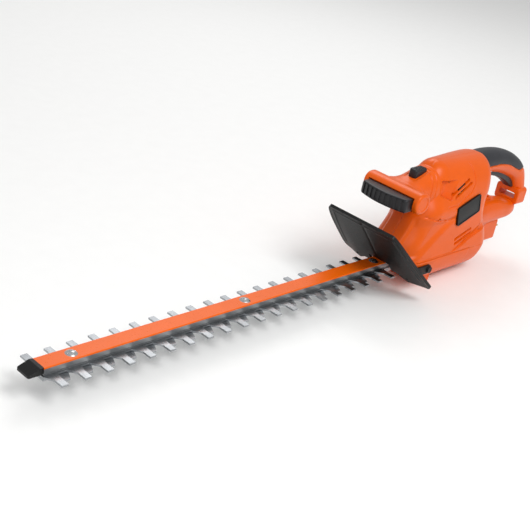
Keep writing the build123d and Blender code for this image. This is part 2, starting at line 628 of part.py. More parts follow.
slot_width, slot_height, slot_z = RETENTION_SLOT
frame_block = Pos(219.0, 0, 84.0) * Box(22.0, 37.0, 24.0)
frame_block = fillet(frame_block.edges().filter_by(Axis.X), 5)
slot = Pos(219.0, 0, slot_z) * Box(60.0, slot_width, slot_height)
slot = fillet(slot.edges().filter_by(Axis.X), 2)
hood_space = block(-80.0, HOOD_X, -50, 50, HOOD_Z, 170)
mouth = block(-90.0, -36.0, -13.4, 13.4, 18.0, 44.4)
trigger_room = side_plate(((113.0, 118.0), (113.0, 142.0), (214.0, 121.0), (214.0, 88.0)),
                          TRIGGER_HALF_WIDTH + 0.5)
inlet_room = block(INLET_REAR_X - 16, INLET_REAR_X + 1, -9.0, 9.0, INLET_Z - 6.0, INLET_Z + 6.0)
below = block(-90.0, 76.0, -60, 60, -1, SPLIT_Z)
screw_places = ((-22.0, 70.0), (94.0, 62.0), (88.0, 134.0), (-4.0, 140.0), (150.0, 70.0), (194.0, 68.0),
                (220.5, 103.0))
base_screw_places = [(x, side * y) for x, y in ((-12.0, 19.0), (58.0, 24.0)) for side in (-1, 1)]


def badge(side, margin):
    """The blank badge's plate, tilted nose down with the moulding's lines."""
    length, thickness, height = BADGE_SIZE
    plate = Box(length + margin, thickness + margin, height + margin)
    return Pos(51.0, side * 37.0, 99.0) * Rot(0, -18, 0) * plate


def vents(side):
    """Cooling slots in one side: two by the motor's top and two by the fan."""
    slots = []
    for x, z, length, tilt in ((22, 130, 26, -32), (24, 123, 28, -32), (58, 58, 30, -14), (60, 51, 30, -14)):
        slots.append(Pos(x, side * 36, z) * Rot(0, tilt, 0) * Box(length, 16, 2.6))
    return slots


def housing_half(side):
    """One clamshell half, with its screw bosses: plain on the right, counterbored on the left."""
    y0, y1 = sorted((0, side * 60))
    half_space = block(-90, 250, y0, y1, -5, 190)
    shell = body_half(0, half_space) - body_half(WALL, half_space)
    within_wall = body_half(WALL / 2, half_space)
    shell += (handle_tube & half_space) - grip_zone - swept_tube(HANDLE_PATH, GRIP_SECTIONS, GRIP_THICKNESS)
    shell += frame_block & half_space
    for cutter in [slot, hood_space, mouth, trigger_room, inlet_room, below, badge(side, 0.2)] + vents(side):
        shell -= cutter
    for x, z in screw_places:
        if side < 0:
            shell += rod_y(x, -40, 0, z, 4.0) & within_wall
            shell -= rod_y(x, -12, 1, z, 1.6)
        else:
            shell += rod_y(x, 0, 40, z, 4.4) & within_wall
            shell -= rod_y(x, -1, 50, z, 1.9)
            shell -= rod_y(x, 10, 50, z, 3.4)
    for x, y in base_screw_places[2:]:
        if y * side > 0:
            tower = post(x, y, SPLIT_Z, SPLIT_Z + 14, TOWER_RADIUS)
            tower += block(x - 1, x + 1, *sorted((y, side * 40)), SPLIT_Z, SPLIT_Z + 14)
            shell += tower & within_wall
            shell -= post(x, y, SPLIT_Z - 1, SPLIT_Z + 10, 2.0)
    shell -= rod_y(TRIGGER_PIVOT[0], -13.2, 13.2, TRIGGER_PIVOT[1], 2.0)
    return shell


save("left_housing", housing_half(1))
save("right_housing", housing_half(-1))
save("housing_screws", *[rod_y(x, -11, 10, z, 1.5) + rod_y(x, 10, 12.4, z, 3.2) for x, z in screw_places])

# The base cover is the hull below the split, with the foot and the screw towers.
foot_front, foot_rear, foot_half = FOOT
foot = Pos((foot_front + foot_rear) / 2, 0, 6.0) * Box(foot_rear - foot_front, 2 * foot_half, 12.0)
foot = fillet(foot.edges().filter_by(Axis.Z), 8)
hull_inside = hull_solid(WALL)
base_cover = (hull_solid(0) - hull_inside) & below
base_cover += foot - hull_inside
base_cover -= mouth
within_base = hull_solid(WALL / 2) + foot
base_screws = []
for x, y in base_screw_places:
    is_front = x < 0
    top = PLATE_Z if is_front else SPLIT_Z
    seat = 9.0 if is_front else 20.0
    tower = post(x, y, 4, top, TOWER_RADIUS)
    if not is_front:
        tower += block(x - 1, x + 1, *sorted((y, math.copysign(45, y))), 12, top)
    base_cover += tower & within_base
    base_cover -= post(x, y, -1, seat, 3.4)
    base_cover -= post(x, y, -1, top + 1, 2.0)
    tip = PLATE_Z + PLATE_THICKNESS if is_front else SPLIT_Z + 9
    base_screws.append(post(x, y, seat - 3.0, seat, 3.2) + post(x, y, seat, tip, 1.9))
for side in (-1, 1):
    base_cover -= rod_y(GUARD_SCREW_X, *sorted((side * 30, side * 45)), GUARD_SCREW_Z, 2.05)
save("base_cover", base_cover)
save("base_screws", *base_screws)

inlet_body = block(INLET_REAR_X - 16, INLET_REAR_X + 2, -8.9, 8.9, INLET_Z - 5.9, INLET_Z + 5.9)
save("power_inlet", inlet_body)
save("inlet_prongs", *[block(INLET_REAR_X + 2, INLET_REAR_X + 14, y - 3.2, y + 3.2, INLET_Z - 0.8, INLET_Z + 0.8)
                       for y in (-5.0, 5.0)])

save("badge_plates", badge(-1, 0), badge(1, 0))

# ---------------------------------------------------------------- hand guard

foot_x, foot_z = GUARD_FOOT
head_x, head_z = GUARD_HEAD
lean = math.degrees(math.atan2(foot_x - head_x, head_z - foot_z))
height = math.hypot(foot_x - head_x, head_z - foot_z)
guard_outline = make_face(Polyline(
    (-69, 0), (-53.5, height), (53.5, height), (69, 0), (66, -2), (37, -3), (27, 5), (16, 5), (16, 20), (-16, 20),
    (-16, 5), (-27, 5), (-37, -3), (-66, -2), close=True))
guard_outline = fillet(guard_outline.vertices().sort_by(Axis.Y)[-2:], 11)
guard_plane = Plane(origin=(foot_x, 0, foot_z), x_dir=(0, 1, 0), z_dir=(math.cos(math.radians(lean)), 0,
                    math.sin(math.radians(lean))))
guard = extrude(guard_plane * guard_outline, GUARD_THICKNESS / 2, both=True)
for side in (-1, 1):
    ear = block(-61.0, GUARD_SCREW_X, *sorted((side * 37.9, side * 41.4)), 25.0, 37.0)
    ear += rod_y(GUARD_SCREW_X, *sorted((side * 37.9, side * 41.4)), GUARD_SCREW_Z, 6.0)
    guard += ear
    guard -= rod_y(GUARD_SCREW_X, *sorted((side * 30, side * 50)), GUARD_SCREW_Z, 2.1)
save("guard", guard)
guard_screws = []
for side in (-1, 1):
    screw = rod_y(GUARD_SCREW_X, *sorted((side * 33.2, side * 41.4)), GUARD_SCREW_Z, 2.0)
    guard_screws.append(screw + rod_y(GUARD_SCREW_X, *sorted((side * 41.4, side * 43.6)), GUARD_SCREW_Z, 4.2))
save("guard_screws", *guard_screws)
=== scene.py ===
import math

import bpy
import numpy as np
from mathutils import Matrix, Vector


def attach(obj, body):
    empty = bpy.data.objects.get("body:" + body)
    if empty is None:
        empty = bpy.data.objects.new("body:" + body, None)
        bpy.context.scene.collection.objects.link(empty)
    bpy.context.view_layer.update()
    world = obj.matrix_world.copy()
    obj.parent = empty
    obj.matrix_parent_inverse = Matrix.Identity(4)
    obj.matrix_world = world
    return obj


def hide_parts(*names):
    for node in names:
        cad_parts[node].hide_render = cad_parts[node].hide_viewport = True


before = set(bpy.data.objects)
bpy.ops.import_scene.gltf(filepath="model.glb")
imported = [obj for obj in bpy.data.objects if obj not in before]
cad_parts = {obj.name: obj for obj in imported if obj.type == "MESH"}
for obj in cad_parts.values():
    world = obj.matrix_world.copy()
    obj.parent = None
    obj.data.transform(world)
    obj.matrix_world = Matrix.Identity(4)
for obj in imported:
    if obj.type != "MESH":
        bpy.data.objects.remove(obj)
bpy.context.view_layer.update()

bl_info = {
    "name": "Hedge Trimmer Builder",
    "version": (1, 0, 0),
    "blender": (4, 5, 0),
    "location": "View3D > Sidebar > Trimmer",
    "description": "Builds the visible pieces and finishes of a mains hedge trimmer on its packed frame",
    "category": "Object",
}

MM = 0.001

# Side view of the hull from floor to crown: level, front, rear and half width, in millimetres.
HULL = np.array((
    (4.0, -8.0, 92.0, 0.05),
    (4.3, -12.0, 96.0, 14.0),
    (10.0, -22.0, 114.0, 24.0),
    (20.0, -43.0, 124.0, 33.0),
    (34.0, -58.0, 130.0, 37.2),
    (46.0, -63.0, 130.0, 37.6),
    (62.0, -58.0, 124.0, 35.5),
    (80.0, -46.0, 114.0, 34.5),
    (100.0, -36.0, 108.0, 35.5),
    (122.0, -27.0, 107.0, 36.5),
    (140.0, -19.0, 105.0, 33.4),
    (151.0, -12.0, 102.0, 26.5),
    (157.0, -6.0, 99.0, 18.0),
    (159.8, 0.0, 96.0, 9.0),
    (160.6, 6.0, 90.0, 0.05),
))
SPLIT_LEVEL = 42.0              # base cover below, clamshell halves above
BASE_REAR = 76.0                # the base cover ends here
BAND_LINE = ((-60.0, 43.0), (4.0, 44.0), (37.0, 44.5), (74.0, 56.0), (99.0, 63.0), (130.0, 70.0))
PANEL_LINE = ((6.0, 108.0), (28.0, 109.0), (50.0, 122.0), (55.0, 134.0), (52.0, 156.0))
SIDE_RECESS = ((-6.0, 141.0), (23.0, 141.0), (14.0, 115.0), (-7.0, 123.0))
VENTS = (((17.0, 122.5), (42.0, 139.0)), ((22.0, 118.0), (47.0, 134.5)), ((38.0, 59.5), (71.0, 68.5)),
         ((39.0, 53.5), (72.0, 62.5)))
NOSE_TAPER = 0.31               # how much narrower the upper body is at its front than at its rear
HOOD_LINE = ((-30.0, 98.0), (-7.0, 92.5), (16.0, 90.0), (24.0, 91.0))
FRONT_CREASE = ((-30.0, 50.0), (30.0, 86.0))
REAR_CREASE = ((20.0, 40.0), (84.0, 70.0))
SCREW_PITS = ((94.0, 62.0), (88.0, 134.0), (-4.0, 140.0), (-30.0, 70.0))
RECESS_DEPTH = 6.5
FRONT_SCOOP_DEPTH = 3.2
REAR_SCOOP_DEPTH = 2.6
SCREW_PIT_DEPTH = 6.0
SCREW_PIT_RADIUS = 3.0
BADGE_CENTRE = (51.0, 99.0)
BADGE_TILT = 18.0
BADGE_HALF = (23.6, 13.4)
BADGE_POCKET_HALF = (24.5, 14.2)
BADGE_POCKET_DEPTH = 0.9

HANDLE = np.array((
    (84.0, 142.5, 17.5, 17.0),
    (118.0, 144.8, 15.8, 17.0),
    (150.0, 141.4, 16.0, 16.5),
    (180.0, 132.6, 15.8, 16.5),
    (204.0, 119.4, 14.2, 16.0),
    (218.0, 99.0, 11.5, 16.0),
    (220.0, 88.0, 11.0, 16.5),
))
GRIP_EDGE = ((80.0, 152.0), (90.0, 146.0), (103.0, 141.5), (118.0, 142.0), (150.0, 140.5), (166.0, 137.0),
             (184.0, 130.0), (196.0, 126.5), (206.0, 128.0), (216.0, 124.0), (240.0, 117.0))
ARM = np.array((
    (92.0, 60.0, 21.5, 24.5),
    (140.0, 66.0, 17.5, 19.5),
    (176.0, 66.5, 15.6, 18.8),
    (200.0, 65.0, 12.6, 18.2),
    (219.0, 66.5, 10.0, 14.0),
))
NECK = np.array((               # place along X, half width, underside, top
    (-71.0, 40.5, 119.0, 136.0),
    (-66.0, 40.0, 116.0, 139.3),
    (-60.0, 35.0, 113.5, 140.4),
    (-53.0, 27.0, 109.0, 141.6),
    (-44.0, 22.5, 105.5, 144.0),
    (-32.0, 21.5, 101.0, 148.0),
    (-22.0, 22.6, 97.0, 151.4),
    (-10.0, 23.6, 94.5, 153.4),
))
BAR_CENTRE = (-68.0, 127.5)
GUARD_FOOT = (-54.0, 24.0)
GUARD_HEAD = (-125.0, 99.5)
GUARD_HALF_WIDTH = 68.6
GUARD_LOWER_EDGE = (             # distance from the middle, height up the plate
    (0.0, 20.0), (16.0, 20.0), (16.001, 5.0), (26.0, 5.0), (28.0, 4.4), (36.0, -2.4), (38.0, -3.0),
    (65.0, -2.0), (68.0, 0.4), (68.7, 3.0))
GUARD_SIDE_RATIO = 15.5         # plate height over the distance its sides lean in
GUARD_CORNER_RUN = 44.0         # how far each upper corner's curve reaches
TRIGGER = ((116.0, 130.0), (116.5, 138.0), (128.0, 138.0), (150.0, 131.0), (176.0, 121.0), (204.0, 106.0),
           (209.0, 99.0), (205.0, 94.0), (194.0, 101.0), (180.0, 109.0), (159.0, 117.5), (139.0, 122.5),
           (121.0, 125.0))
SLOT_CENTRE_LEVEL = 84.0
INLET_LEVEL = 40.0

LIGHTS = (                      # name, place in metres, size in metres, watts
    ("key", (-0.35, -1.3, 1.8), 0.9, 24.0),
    ("fill", (-1.5, -0.9, 1.2), 1.2, 5.0),
    ("rear", (0.9, 1.2, 1.6), 1.0, 10.0),
)
LIGHT_TARGET = (-0.12, 0.0, 0.06)
CAMERA_PLACE = (-1.04269, -0.62787, 0.53306)
CAMERA_TURN = -0.881
CAMERA_RISE = 0.435
CAMERA_ROLL = 0.203
SHARP_ANGLE = math.radians(40)


def linear(code):
    """An sRGB hex colour as linear red, green and blue: each channel to the power the sRGB curve gives."""
    channels = np.array([int(code[i:i + 2], 16) for i in (1, 3, 5)]) / 255
    low = channels / 12.92
    high = ((channels + 0.055) / 1.055) ** 2.4
    return tuple(np.where(channels <= 0.04045, low, high).tolist())


# ---------------------------------------------------------------- properties

class TrimmerSizes(bpy.types.PropertyGroup):
    """Sizes a user may change."""

    wall: bpy.props.FloatProperty(
        name="Housing Wall", description="Thickness of the moulded housing's wall",
        default=0.0022, unit="LENGTH")
    groove_depth: bpy.props.FloatProperty(
        name="Groove Depth", description="Depth of the panel lines moulded in the housing",
        default=0.0011, unit="LENGTH")
    band_height: bpy.props.FloatProperty(
        name="Band Height", description="How far the lower band stands proud of the hull",
        default=0.0008, unit="LENGTH")
    vent_depth: bpy.props.FloatProperty(
        name="Vent Depth", description="Depth of the cooling slots",
        default=0.005, unit="LENGTH")
    rib_pitch: bpy.props.FloatProperty(
        name="Rib Pitch", description="Spacing of the finger ribs on the front switch bar",
        default=0.007, unit="LENGTH")
    guard_thickness: bpy.props.FloatProperty(
        name="Guard Thickness", description="Thickness of the hand guard's plate",
        default=0.0034, unit="LENGTH")


def colour_property(name, description, code):
    """A colour that shows as a swatch, kept in linear light."""
    return bpy.props.FloatVectorProperty(
        name=name, description=description, default=linear(code), subtype="COLOR", size=3, min=0, max=1)


class TrimmerColours(bpy.types.PropertyGroup):
    """Colours a user may change."""

    housing: colour_property("Housing", "Moulded orange ABS of the housing", "#E05A04")
    paint: colour_property("Bar Paint", "Orange paint on top of the support bar", "#E86204")
    guard: colour_property("Guard", "Black glass filled nylon of the guard", "#0C0D0D")
    controls: colour_property("Controls", "Dark nylon of the switch bar, button and trigger", "#1C1C1F")
    grip: colour_property("Grip", "Soft elastomer of the rear grip", "#2A2B30")
    blades: colour_property("Blades", "Ground carbon steel of the blades", "#9DA0A3")
    bar: colour_property("Bar", "Zinc plated steel of the support bar", "#9A9C9E")


# ---------------------------------------------------------------- shapes worked out as arrays

def smooth(x, places, values):
    """Cubic Hermite curve through (places, values): each span blends its two ends and their mean slopes."""
    places = np.asarray(places, float)
    values = np.asarray(values, float)
    slopes = np.gradient(values, places)
    x = np.clip(np.asarray(x, float), places[0], places[-1])
    i = np.clip(np.searchsorted(places, x) - 1, 0, len(places) - 2)
    h = places[i + 1] - places[i]
    t = (x - places[i]) / h
    return ((2 * t ** 3 - 3 * t ** 2 + 1) * values[i] + (t ** 3 - 2 * t ** 2 + t) * h * slopes[i]
            + (3 * t ** 2 - 2 * t ** 3) * values[i + 1] + (t ** 3 - t ** 2) * h * slopes[i + 1])


def step(x, low, high):
    """Rises smoothly from 0 at low to 1 at high, as 3t squared less 2t cubed."""
    t = np.clip((x - low) / (high - low), 0, 1)
    return t * t * (3 - 2 * t)


def line_distance(x, y, points):
    """Shortest distance from each (x, y) to an open line of straight runs."""
    best = np.full(np.broadcast(x, y).shape, 1e6)
    for (ax, ay), (bx, by) in zip(points[:-1], points[1:]):
        dx, dy = bx - ax, by - ay
        t = np.clip(((x - ax) * dx + (y - ay) * dy) / (dx * dx + dy * dy), 0, 1)
        best = np.minimum(best, np.hypot(x - ax - t * dx, y - ay - t * dy))
    return best


def inside_depth(x, y, corners):
    """Signed distance into a convex outline given clockwise: the least of the distances to its sides."""
    depth = np.full(np.broadcast(x, y).shape, 1e6)
    for (ax, ay), (bx, by) in zip(corners, corners[1:] + corners[:1]):
        dx, dy = bx - ax, by - ay
        depth = np.minimum(depth, ((y - ay) * dx - (x - ax) * dy) / -math.hypot(dx, dy))
    return depth


def side_distance(x, y, line):
    """How far a point lies to the left of a straight line from its first end to its second."""
    (ax, ay), (bx, by) = line
    dx, dy = bx - ax, by - ay
    return ((y - ay) * dx - (x - ax) * dy) / math.hypot(dx, dy)


def grid_normals(points):
    """Unit normals of a grid: the cross product of its two directions' differences."""
    across = np.cross(np.gradient(points, axis=0), np.gradient(points, axis=1))
    return across / np.maximum(np.linalg.norm(across, axis=2, keepdims=True), 1e-9)


def rounded_loop(half_a, half_b, radius, count):
    """A rounded rectangle as a closed loop: each corner's centre plus a circle of its radius."""
    angle = (np.arange(count) + 0.5) * 2 * math.pi / count
    a = np.sign(np.cos(angle)) * (half_a - radius) + radius * np.cos(angle)
    b = np.sign(np.sin(angle)) * (half_b - radius) + radius * np.sin(angle)
    return np.stack([a, b], 1)


def softened(points, rounds):
    """Cuts a closed outline's corners: each side keeps its points at a quarter and three quarters."""
    points = np.asarray(points, float)
    for _ in range(rounds):
        after = np.roll(points, -1, axis=0)
        points = np.stack([0.75 * points + 0.25 * after, 0.25 * points + 0.75 * after], 1).reshape(-1, 2)
    return points


def skin(rows, wrap=True, caps=True, ring=False):
    """Faces over a grid of rows: four neighbours make a quad, and the end rows close as flat faces."""
    count, width = rows.shape[:2]
    index = np.arange(count * width).reshape(count, width)
    table = index
    if wrap:
        table = np.hstack([table, table[:, :1]])
    if ring:
        table = np.vstack([table, table[:1]])
    quads = np.stack([table[:-1, :-1], table[1:, :-1], table[1:, 1:], table[:-1, 1:]], -1).reshape(-1, 4)
    faces = quads.tolist()
    vertices = rows.reshape(-1, 3)
    corners = vertices[quads]
    area = np.cross(corners[:, 2] - corners[:, 0], corners[:, 3] - corners[:, 1])
    outward = np.sum(area * (corners.mean(1) - vertices.mean(0)))
    if caps:
        faces.append(index[0].tolist())
        faces.append(index[-1][::-1].tolist())
    if outward < 0:
        faces = [face[::-1] for face in faces]
    return vertices, faces


def slab(outline, low, high, edge, place):
    """A thick outline with rounded edges: rings drawn in by the edge's quarter circle at both faces.

    place turns the outline's two coordinates and the height into X, Y and Z.
    """
    along = np.roll(outline, -1, axis=0) - np.roll(outline, 1, axis=0)
    normal = np.stack([along[:, 1], -along[:, 0]], 1)
    normal /= np.maximum(np.linalg.norm(normal, axis=1, keepdims=True), 1e-9)
    turned = np.sum(outline[:, 0] * np.roll(outline[:, 1], -1) - np.roll(outline[:, 0], -1) * outline[:, 1])
    normal *= np.sign(turned)
    quarter = np.linspace(0, math.pi / 2, 5)
    inset = np.concatenate([edge * (1 - np.sin(quarter)), edge * (1 - np.cos(quarter))])
    height = np.concatenate([low + edge * (1 - np.cos(quarter)), high - edge * (1 - np.sin(quarter))])
    flat = outline[None] - normal[None] * inset[:, None, None]
    return skin(place(flat[..., 0], flat[..., 1], height[:, None] + 0 * flat[..., 0]))


def upright(a, b, h):
    """Outline in X and Y, height along Z."""
    return np.stack([a, b, h], -1)


def sideways(a, b, h):
    """Outline in X and Z, height along Y."""
    return np.stack([a, h, b], -1)


def joined(parts):
    """Puts several skins together, each one's faces counted on from the last."""
    vertices = []
    faces = []
    start = 0
    for points, polygons in parts:
        vertices.append(points)
        faces.extend([[i + start for i in polygon] for polygon in polygons])
        start += len(points)
    return np.concatenate(vertices), faces


def tube(table, counts, power=2.3, stop=None):
    """A tube in the middle plane: superellipses square to a smooth path of centre X, Z and half sizes."""
    rows, columns = counts
    place = np.arange(len(table))
    t = np.linspace(0, stop or place[-1], rows)
    x, z, high, wide = (smooth(t, place, table[:, k]) for k in range(4))
    tangent = np.stack([np.gradient(x), np.gradient(z)], 1)
    tangent /= np.linalg.norm(tangent, axis=1, keepdims=True)
    angle = np.arange(columns) * 2 * math.pi / columns
    a = np.sign(np.cos(angle)) * np.abs(np.cos(angle)) ** (2 / power)
    b = np.sign(np.sin(angle)) * np.abs(np.sin(angle)) ** (2 / power)
    lift = high[:, None] * b
    return np.stack([
        x[:, None] - tangent[:, 1:] * lift,
        wide[:, None] * a,
        z[:, None] + tangent[:, :1] * lift,
    ], -1)


# ---------------------------------------------------------------- putting pieces in the scene

def piece(name, parts, body, nodes, slot, wall=0.0):
    """Makes one mesh piece of skins in millimetres, stands it for CAD nodes and rides it on their body.

    slot names both its finish and its material slot.
    """
    vertices, faces = joined(parts)
    mesh = bpy.data.meshes.new(name)
    mesh.from_pydata((vertices * MM).tolist(), [], faces)
    if mesh.validate():
        mesh.update()
    mesh.polygons.foreach_set("use_smooth", np.ones(len(mesh.polygons), bool))
    mesh.set_sharp_from_angle(angle=SHARP_ANGLE)
    mesh.materials.append(FINISHES[slot])
    made = bpy.data.objects.new(name, mesh)
    bpy.context.scene.collection.objects.link(made)
    if wall:
        solid = made.modifiers.new("Wall", "SOLIDIFY")
        solid.thickness = wall
        solid.offset = -1
    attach(made, body)
    if nodes:
        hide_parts(*nodes)


def paint(material, *names):
    """Gives CAD nodes a finish in their own material slots."""
    for name in names:
        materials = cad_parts[name].data.materials
        if not len(materials):
            materials.append(material)
        for index in range(len(materials)):
            materials[index] = material


# ---------------------------------------------------------------- finishes

def add(tree, kind, values=None, links=None, **settings):
    """Adds a node, sets its sockets' values and its settings, and links its inputs."""
    made = tree.nodes.new(kind)
    for key, value in settings.items():
        setattr(made, key, value)
    for key, value in (values or {}).items():
        made.inputs[key].default_value = value
    for key, source in (links or {}).items():
        tree.links.new(source, made.inputs[key])
    return made


def colour4(colour, scale=1.0):
    """A colour times a factor, with full alpha."""
    return tuple(min(1.0, c * scale) for c in colour) + (1.0,)


def finish(name, colour, spread, rough, grain_mm, height_mm, stretch=(1, 1, 1), patch_mm=25.0, **surface):
    """A surface with a fine grain, a slow change of shade and a little unevenness in its gloss.

    The grain's noise is scaled to grain_mm and lifts the surface by height_mm, stretch draws it out along
    an axis as grinding or drawing does, and the shade drifts over patches of patch_mm.
    """
    material = bpy.data.materials.new(name)
    material.use_nodes = True
    tree = material.node_tree
    tree.nodes.clear()
    coords = add(tree, "ShaderNodeTexCoord")
    mapping = add(tree, "ShaderNodeMapping", {"Scale": stretch}, {"Vector": coords.outputs["Object"]})
    grain = add(tree, "ShaderNodeTexNoise", {"Scale": 1 / (grain_mm * MM), "Detail": 4.0, "Roughness": 0.6},
                {"Vector": mapping.outputs["Vector"]})
    patch = add(tree, "ShaderNodeTexNoise", {"Scale": 1 / (patch_mm * MM), "Detail": 3.0},
                {"Vector": coords.outputs["Object"]})
    mixed = add(tree, "ShaderNodeMath", {1: 0.35}, {0: grain.outputs["Fac"]}, operation="MULTIPLY")
    total = add(tree, "ShaderNodeMath", {}, {0: mixed.outputs[0], 1: patch.outputs["Fac"]}, operation="ADD")
    shade = add(tree, "ShaderNodeValToRGB", {}, {"Fac": total.outputs[0]})
    shade.color_ramp.elements[0].position = 0.35
    shade.color_ramp.elements[1].position = 0.95
    shade.color_ramp.elements[0].color = colour4(colour, 1 - spread)
    shade.color_ramp.elements[1].color = colour4(colour, 1 + spread)
    gloss = add(tree, "ShaderNodeMapRange",
                {"From Min": 0.3, "From Max": 0.75, "To Min": rough[0], "To Max": rough[1]},
                {"Value": grain.outputs["Fac"]})
    bump = add(tree, "ShaderNodeBump", {"Strength": 0.6, "Distance": height_mm * MM},
               {"Height": grain.outputs["Fac"]})
    shader = add(tree, "ShaderNodeBsdfPrincipled", surface,
                 {"Base Color": shade.outputs["Color"], "Roughness": gloss.outputs["Result"],
                  "Normal": bump.outputs["Normal"]})
    add(tree, "ShaderNodeOutputMaterial", {}, {"Surface": shader.outputs["BSDF"]})
    return material


def finishes():
    """Every finish of the trimmer, made once."""
    colours = bpy.context.scene.trimmer_colours
    return {
        # Injection moulded ABS: even, fairly glossy, with a very fine spark eroded grain.
        "orange_plastic": finish("moulded_orange_abs", colours.housing, 0.05, (0.27, 0.38), 0.9, 0.02, IOR=1.53,
                                 **{"Specular IOR Level": 0.25}),
        # Glass filled nylon: dull black whose coarse tool texture breaks up the highlights.
        "black_plastic": finish("textured_black_nylon", colours.guard, 0.25, (0.38, 0.56), 0.8, 0.05, IOR=1.53,
                                **{"Specular IOR Level": 0.3}),
        # Unfilled dark nylon: a smoother, softer shine on the parts that fingers rub.
        "dark_plastic": finish("moulded_dark_nylon", colours.controls, 0.15, (0.32, 0.46), 0.7, 0.03, IOR=1.53,
                               **{"Specular IOR Level": 0.35}),
        # Thermoplastic elastomer: matt and slightly velvety, so light spreads over its crown.
        "soft_rubber": finish("soft_grip_elastomer", colours.grip, 0.18, (0.46, 0.62), 0.8, 0.05, IOR=1.5,
                              **{"Sheen Weight": 0.05, "Sheen Roughness": 0.4, "Specular IOR Level": 0.35}),
        # Carbon steel ground across the blade: fine scratches run with the teeth.
        "blade_steel": finish("ground_carbon_steel", colours.blades, 0.14, (0.24, 0.42), 1.2, 0.012,
                              stretch=(2.4, 0.12, 1), Metallic=1.0),
        # Cold drawn steel, zinc plated: a soft grey sheen drawn out along the bar.
        "bar_metal": finish("zinc_plated_drawn_steel", colours.bar, 0.15, (0.30, 0.48), 1.4, 0.012,
                            stretch=(0.08, 1.6, 1.6), Metallic=1.0),
        # Powder coat on the bar's top: bright, with the faint orange peel of baked paint.
        "orange_paint": finish("orange_powder_coat", colours.paint, 0.05, (0.26, 0.36), 1.8, 0.03, IOR=1.5,
                               **{"Coat Weight": 0.05, "Coat Roughness": 0.3, "Specular IOR Level": 0.2}),
        # Bright zinc on screws and nuts: silver with small mottled spangles.
        "plated_steel": finish("bright_zinc_screws", linear("#C9CBCC"), 0.10, (0.18, 0.32), 0.9, 0.01,
                               patch_mm=2.0, Metallic=1.0),
        # Die cast zinc alloy: dull silver grey with a sandy skin.
        "cast_alloy": finish("die_cast_alloy", linear("#A5A7A9"), 0.12, (0.42, 0.6), 1.0, 0.05, Metallic=1.0),
        # Hardened and oiled gear steel: darker and glossier than the casting.
        "gear_steel": finish("hardened_gear_steel", linear("#8D8F92"), 0.12, (0.22, 0.36), 0.8, 0.01,
                             Metallic=1.0),
        # Stacked electrical steel: fine level lines from the edges of the sheets.
        "core_steel": finish("laminated_core_steel", linear("#77797C"), 0.22, (0.4, 0.55), 0.5, 0.02,
                             stretch=(0.05, 0.05, 1.6), Metallic=1.0),
        # Enamelled copper wire: deep reddish gloss, wound in close turns.
        "copper_wire": finish("enamelled_copper_wire", linear("#A4532A"), 0.25, (0.22, 0.36), 0.5, 0.06,
                              stretch=(0.15, 0.15, 1.4), Metallic=1.0),
        # Turned copper bars: bright, with rings left by the lathe.
        "commutator_copper": finish("turned_copper", linear("#C77A4A"), 0.15, (0.2, 0.34), 0.5, 0.02,
                                    stretch=(0.1, 0.1, 1.8), Metallic=1.0),
        # Pressed carbon: matt black grains.
        "brush_carbon": finish("pressed_carbon", linear("#1C1C1D"), 0.3, (0.6, 0.75), 0.4, 0.04, IOR=1.6),
        # Stamped brass: warm and softly reflective.
        "brass_parts": finish("stamped_brass", linear("#C2A24E"), 0.12, (0.24, 0.4), 0.9, 0.01, Metallic=1.0),
        # Moulded polyamide fan: charcoal grey with a low sheen.
        "fan_plastic": finish("moulded_fan_nylon", linear("#3A3B3E"), 0.12, (0.38, 0.5), 0.8, 0.03, IOR=1.53),
    }


FINISHES = {}


# ---------------------------------------------------------------- the hull

def hull_grid(first, last, rows, side, x_low=None, x_high=None, columns=150):
    """Half of the hull between two levels as a grid.

    Down the rows the level, front, rear and half width follow the smooth side table. Across them runs one
    half of a rounded rectangle: half the flat nose, a quarter circle, the straight side, a quarter circle
    and half the flat tail, the corner radius being 0.78 of the half width. The upper body then narrows
    towards its front.
    """
    place = np.arange(len(HULL))
    dense = np.linspace(0, place[-1], 1500)
    level = smooth(dense, place, HULL[:, 0])
    t = np.linspace(np.interp(first, level, dense), np.interp(last, level, dense), rows)[:, None]
    z, front, rear, half = (smooth(t, place, HULL[:, k]) for k in range(4))
    radius = 0.78 * half
    flat = np.linspace(0, 1, 7)
    turn = np.linspace(0, math.pi / 2, 40)
    along = np.linspace(0, 1, columns)
    start = front + radius
    end = rear - radius
    nose = [(front + 0 * flat, (half - radius) * flat),
            (front + radius * (1 - np.cos(turn)), half - radius + radius * np.sin(turn))]
    tail = [(rear - radius * (1 - np.sin(turn)), half - radius + radius * np.cos(turn)),
            (rear + 0 * flat, (half - radius) * (1 - flat))]
    if x_high is not None:
        tail = []
        end = x_high + 0 * end
    if x_low is not None:
        nose = []
        start = x_low + 0 * start
    straight = [(start + (end - start) * along, half + 0 * along)]
    runs = nose + straight + tail
    x = np.hstack([run[0] for run in runs])
    y = np.hstack([run[1] for run in runs])
    z = z + 0 * x
    y = y * (1 - NOSE_TAPER * step(z, 100, 126) * (1 - step(x, -20, 90)))
    points = np.stack([x, y, z], -1)
    out = grid_normals(points)
    out *= np.where(np.sum(out[..., 1]) < 0, -1, 1)
    points = points + out * hull_relief(points, side)[..., None]
    points[..., 1] = np.maximum(points[..., 1], 0.12) * side
    return points


